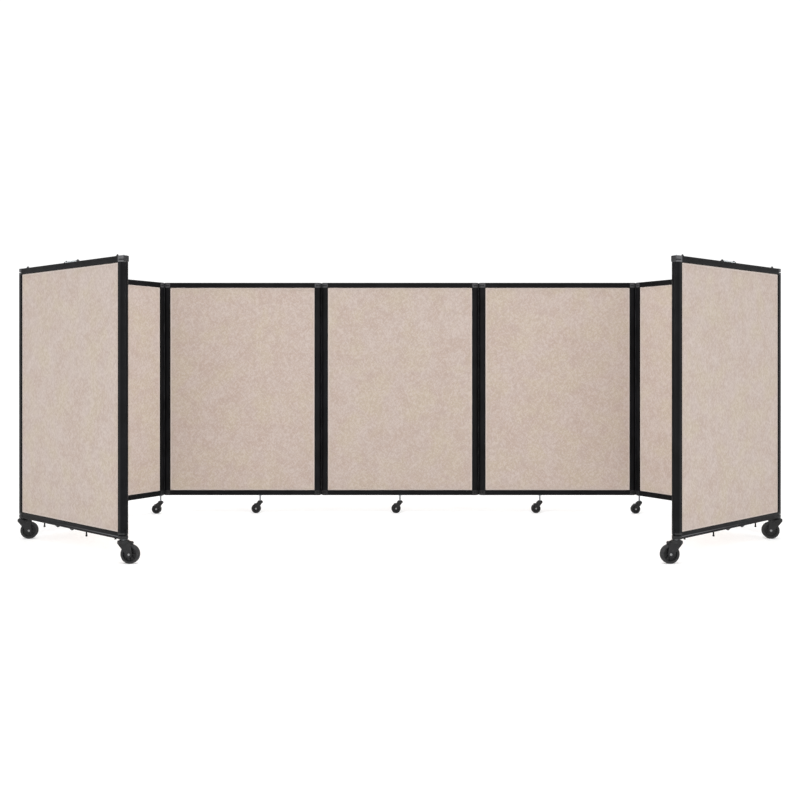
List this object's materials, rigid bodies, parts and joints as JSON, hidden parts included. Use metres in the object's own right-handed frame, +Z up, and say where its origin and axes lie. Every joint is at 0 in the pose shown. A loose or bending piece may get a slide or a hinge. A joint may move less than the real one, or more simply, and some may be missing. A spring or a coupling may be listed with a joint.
{
  "type": "accordion folding partition",
  "caption": "Free-standing folding room partition: fabric boards in dark frames, joined by double-pivot hinges, rolling on swivel casters with braked ends.",
  "frame": {"origin": "on the floor, under the middle of the half-open screen's footprint", "axes": "+Z up, -Y towards the side that the screen folds round, +X to the right seen from there"},
  "size_m": [3.455, 1.2666, 1.229],
  "materials": {
    "frame": "black powder coat, satin",
    "bracket": "charcoal moulded nylon",
    "fabric_board": "beige needle-punched felt",
    "steel_stem": "zinc plated",
    "hinge_link": "dark plated steel",
    "caster_fork": "black moulded nylon",
    "caster_wheel": "black rubber tread",
    "clear_bar": "translucent moulded plastic",
    "rail_fitting": "black"
  },
  "bodies": {
    "panel_1": {"frame_1": "frame", "corners_1": "bracket", "board_1": "fabric_board", "stems_1": "steel_stem", "bar_clip_1": "clear_bar", "rail_fittings_1": "rail_fitting"},
    "panel_2": {"frame_2": "frame", "corners_2": "bracket", "board_2": "fabric_board", "stems_2": "steel_stem"},
    "panel_3": {"frame_3": "frame", "corners_3": "bracket", "board_3": "fabric_board", "stems_3": "steel_stem"},
    "panel_4": {"frame_4": "frame", "corners_4": "bracket", "board_4": "fabric_board", "stems_4": "steel_stem"},
    "panel_5": {"frame_5": "frame", "corners_5": "bracket", "board_5": "fabric_board", "stems_5": "steel_stem"},
    "panel_6": {"frame_6": "frame", "corners_6": "bracket", "board_6": "fabric_board", "stems_6": "steel_stem"},
    "panel_7": {"frame_7": "frame", "corners_7": "bracket", "board_7": "fabric_board", "stems_7": "steel_stem", "bar_clip_7": "clear_bar", "rail_fittings_7": "rail_fitting"},
    "link_12": {"hinge_12": "hinge_link"},
    "link_23": {"hinge_23": "hinge_link"},
    "link_34": {"hinge_34": "hinge_link"},
    "link_45": {"hinge_45": "hinge_link"},
    "link_56": {"hinge_56": "hinge_link"},
    "link_67": {"hinge_67": "hinge_link"},
    "caster_1_outer": {"fork_1_outer": "caster_fork"},
    "wheel_1_outer": {"wheel_1_outer": "caster_wheel"},
    "caster_1_inner": {"fork_1_inner": "caster_fork"},
    "wheel_1_inner": {"wheel_1_inner": "caster_wheel"},
    "caster_2": {"fork_2": "caster_fork"},
    "wheel_2": {"wheel_2": "caster_wheel"},
    "caster_3": {"fork_3": "caster_fork"},
    "wheel_3": {"wheel_3": "caster_wheel"},
    "caster_4": {"fork_4": "caster_fork"},
    "wheel_4": {"wheel_4": "caster_wheel"},
    "caster_5": {"fork_5": "caster_fork"},
    "wheel_5": {"wheel_5": "caster_wheel"},
    "caster_6": {"fork_6": "caster_fork"},
    "wheel_6": {"wheel_6": "caster_wheel"},
    "caster_7_inner": {"fork_7_inner": "caster_fork"},
    "wheel_7_inner": {"wheel_7_inner": "caster_wheel"},
    "caster_7_outer": {"fork_7_outer": "caster_fork"},
    "wheel_7_outer": {"wheel_7_outer": "caster_wheel"},
    "pedal_1_outer": {"pedal_1_outer": "caster_fork"},
    "pedal_1_inner": {"pedal_1_inner": "caster_fork"},
    "pedal_7_inner": {"pedal_7_inner": "caster_fork"},
    "pedal_7_outer": {"pedal_7_outer": "caster_fork"}
  },
  "joints": [
    {"name": "fold_34_near", "type": "hinge", "parent": "panel_4", "child": "link_34", "pos_m": [-0.3975, 0.61629, 0.6575], "axis": [0, 0, -1], "range_deg": [-90, 90]},
    {"name": "fold_34_far", "type": "hinge", "parent": "link_34", "child": "panel_3", "pos_m": [-0.4355, 0.61629, 0.6575], "axis": [0, 0, -1], "range_deg": [-90, 90]},
    {"name": "fold_23_near", "type": "hinge", "parent": "panel_3", "child": "link_23", "pos_m": [-1.2305, 0.61629, 0.6575], "axis": [0, 0, 1], "range_deg": [-118, 62]},
    {"name": "fold_23_far", "type": "hinge", "parent": "link_23", "child": "panel_2", "pos_m": [-1.26405, 0.59845, 0.6575], "axis": [0, 0, 1], "range_deg": [-118, 62]},
    {"name": "fold_12_near", "type": "hinge", "parent": "panel_2", "child": "link_12", "pos_m": [-1.70861, -0.06064, 0.6575], "axis": [0, 0, -1], "range_deg": [-48, 132]},
    {"name": "fold_12_far", "type": "hinge", "parent": "link_12", "child": "panel_1", "pos_m": [-1.70332, -0.09827, 0.6575], "axis": [0, 0, -1], "range_deg": [-48, 132]},
    {"name": "fold_45_near", "type": "hinge", "parent": "panel_4", "child": "link_45", "pos_m": [0.3975, 0.61629, 0.6575], "axis": [0, 0, -1], "range_deg": [-90, 90]},
    {"name": "fold_45_far", "type": "hinge", "parent": "link_45", "child": "panel_5", "pos_m": [0.4355, 0.61629, 0.6575], "axis": [0, 0, -1], "range_deg": [-90, 90]},
    {"name": "fold_56_near", "type": "hinge", "parent": "panel_5", "child": "link_56", "pos_m": [1.2305, 0.61629, 0.6575], "axis": [0, 0, 1], "range_deg": [-62, 118]},
    {"name": "fold_56_far", "type": "hinge", "parent": "link_56", "child": "panel_6", "pos_m": [1.26405, 0.59845, 0.6575], "axis": [0, 0, 1], "range_deg": [-62, 118]},
    {"name": "fold_67_near", "type": "hinge", "parent": "panel_6", "child": "link_67", "pos_m": [1.70861, -0.06064, 0.6575], "axis": [0, 0, -1], "range_deg": [-132, 48]},
    {"name": "fold_67_far", "type": "hinge", "parent": "link_67", "child": "panel_7", "pos_m": [1.70332, -0.09827, 0.6575], "axis": [0, 0, -1], "range_deg": [-132, 48]},
    {"name": "swivel_1_outer", "type": "hinge", "parent": "panel_1", "child": "caster_1_outer", "pos_m": [-1.09432, -0.60929, 0.086], "axis": [0, 0, -1], "continuous": true},
    {"name": "roll_1_outer", "type": "hinge", "parent": "caster_1_outer", "child": "wheel_1_outer", "pos_m": [-1.06746, -0.61211, 0.038], "axis": [0.1045, 0.9945, 0], "continuous": true},
    {"name": "brake_1_outer", "type": "hinge", "parent": "caster_1_outer", "child": "pedal_1_outer", "pos_m": [-1.06349, -0.61253, 0.083], "axis": [0.1045, 0.9945, 0], "range_deg": [0, 14]},
    {"name": "swivel_1_inner", "type": "hinge", "parent": "panel_1", "child": "caster_1_inner", "pos_m": [-1.70332, -0.09827, 0.086], "axis": [0, 0, -1], "continuous": true},
    {"name": "roll_1_inner", "type": "hinge", "parent": "caster_1_inner", "child": "wheel_1_inner", "pos_m": [-1.67691, -0.09266, 0.038], "axis": [-0.2079, 0.9781, 0], "continuous": true},
    {"name": "brake_1_inner", "type": "hinge", "parent": "caster_1_inner", "child": "pedal_1_inner", "pos_m": [-1.673, -0.09182, 0.083], "axis": [-0.2079, 0.9781, 0], "range_deg": [0, 14]},
    {"name": "swivel_2", "type": "hinge", "parent": "panel_2", "child": "caster_2", "pos_m": [-1.26405, 0.59845, 0.067], "axis": [0, 0, -1], "continuous": true},
    {"name": "roll_2", "type": "hinge", "parent": "caster_2", "child": "wheel_2", "pos_m": [-1.28505, 0.59845, 0.0245], "axis": [0, -1, 0], "continuous": true},
    {"name": "swivel_3", "type": "hinge", "parent": "panel_3", "child": "caster_3", "pos_m": [-0.741, 0.61629, 0.067], "axis": [0, 0, -1], "continuous": true},
    {"name": "roll_3", "type": "hinge", "parent": "caster_3", "child": "wheel_3", "pos_m": [-0.762, 0.61629, 0.0245], "axis": [0, -1, 0], "continuous": true},
    {"name": "swivel_4", "type": "hinge", "parent": "panel_4", "child": "caster_4", "pos_m": [0, 0.61629, 0.067], "axis": [0, 0, -1], "continuous": true},
    {"name": "roll_4", "type": "hinge", "parent": "caster_4", "child": "wheel_4", "pos_m": [-0.021, 0.61629, 0.0245], "axis": [0, -1, 0], "continuous": true},
    {"name": "swivel_5", "type": "hinge", "parent": "panel_5", "child": "caster_5", "pos_m": [0.741, 0.61629, 0.067], "axis": [0, 0, -1], "continuous": true},
    {"name": "roll_5", "type": "hinge", "parent": "caster_5", "child": "wheel_5", "pos_m": [0.72, 0.61629, 0.0245], "axis": [0, -1, 0], "continuous": true},
    {"name": "swivel_6", "type": "hinge", "parent": "panel_6", "child": "caster_6", "pos_m": [1.26405, 0.59845, 0.067], "axis": [0, 0, -1], "continuous": true},
    {"name": "roll_6", "type": "hinge", "parent": "caster_6", "child": "wheel_6", "pos_m": [1.24305, 0.59845, 0.0245], "axis": [0, -1, 0], "continuous": true},
    {"name": "swivel_7_inner", "type": "hinge", "parent": "panel_7", "child": "caster_7_inner", "pos_m": [1.70332, -0.09827, 0.086], "axis": [0, 0, -1], "continuous": true},
    {"name": "roll_7_inner", "type": "hinge", "parent": "caster_7_inner", "child": "wheel_7_inner", "pos_m": [1.67691, -0.09266, 0.038], "axis": [-0.2079, -0.9781, 0], "continuous": true},
    {"name": "brake_7_inner", "type": "hinge", "parent": "caster_7_inner", "child": "pedal_7_inner", "pos_m": [1.673, -0.09182, 0.083], "axis": [-0.2079, -0.9781, 0], "range_deg": [0, 14]},
    {"name": "swivel_7_outer", "type": "hinge", "parent": "panel_7", "child": "caster_7_outer", "pos_m": [1.09432, -0.60929, 0.086], "axis": [0, 0, -1], "continuous": true},
    {"name": "roll_7_outer", "type": "hinge", "parent": "caster_7_outer", "child": "wheel_7_outer", "pos_m": [1.06746, -0.61211, 0.038], "axis": [0.1045, -0.9945, 0], "continuous": true},
    {"name": "brake_7_outer", "type": "hinge", "parent": "caster_7_outer", "child": "pedal_7_outer", "pos_m": [1.06349, -0.61253, 0.083], "axis": [0.1045, -0.9945, 0], "range_deg": [0, 14]}
  ]
}
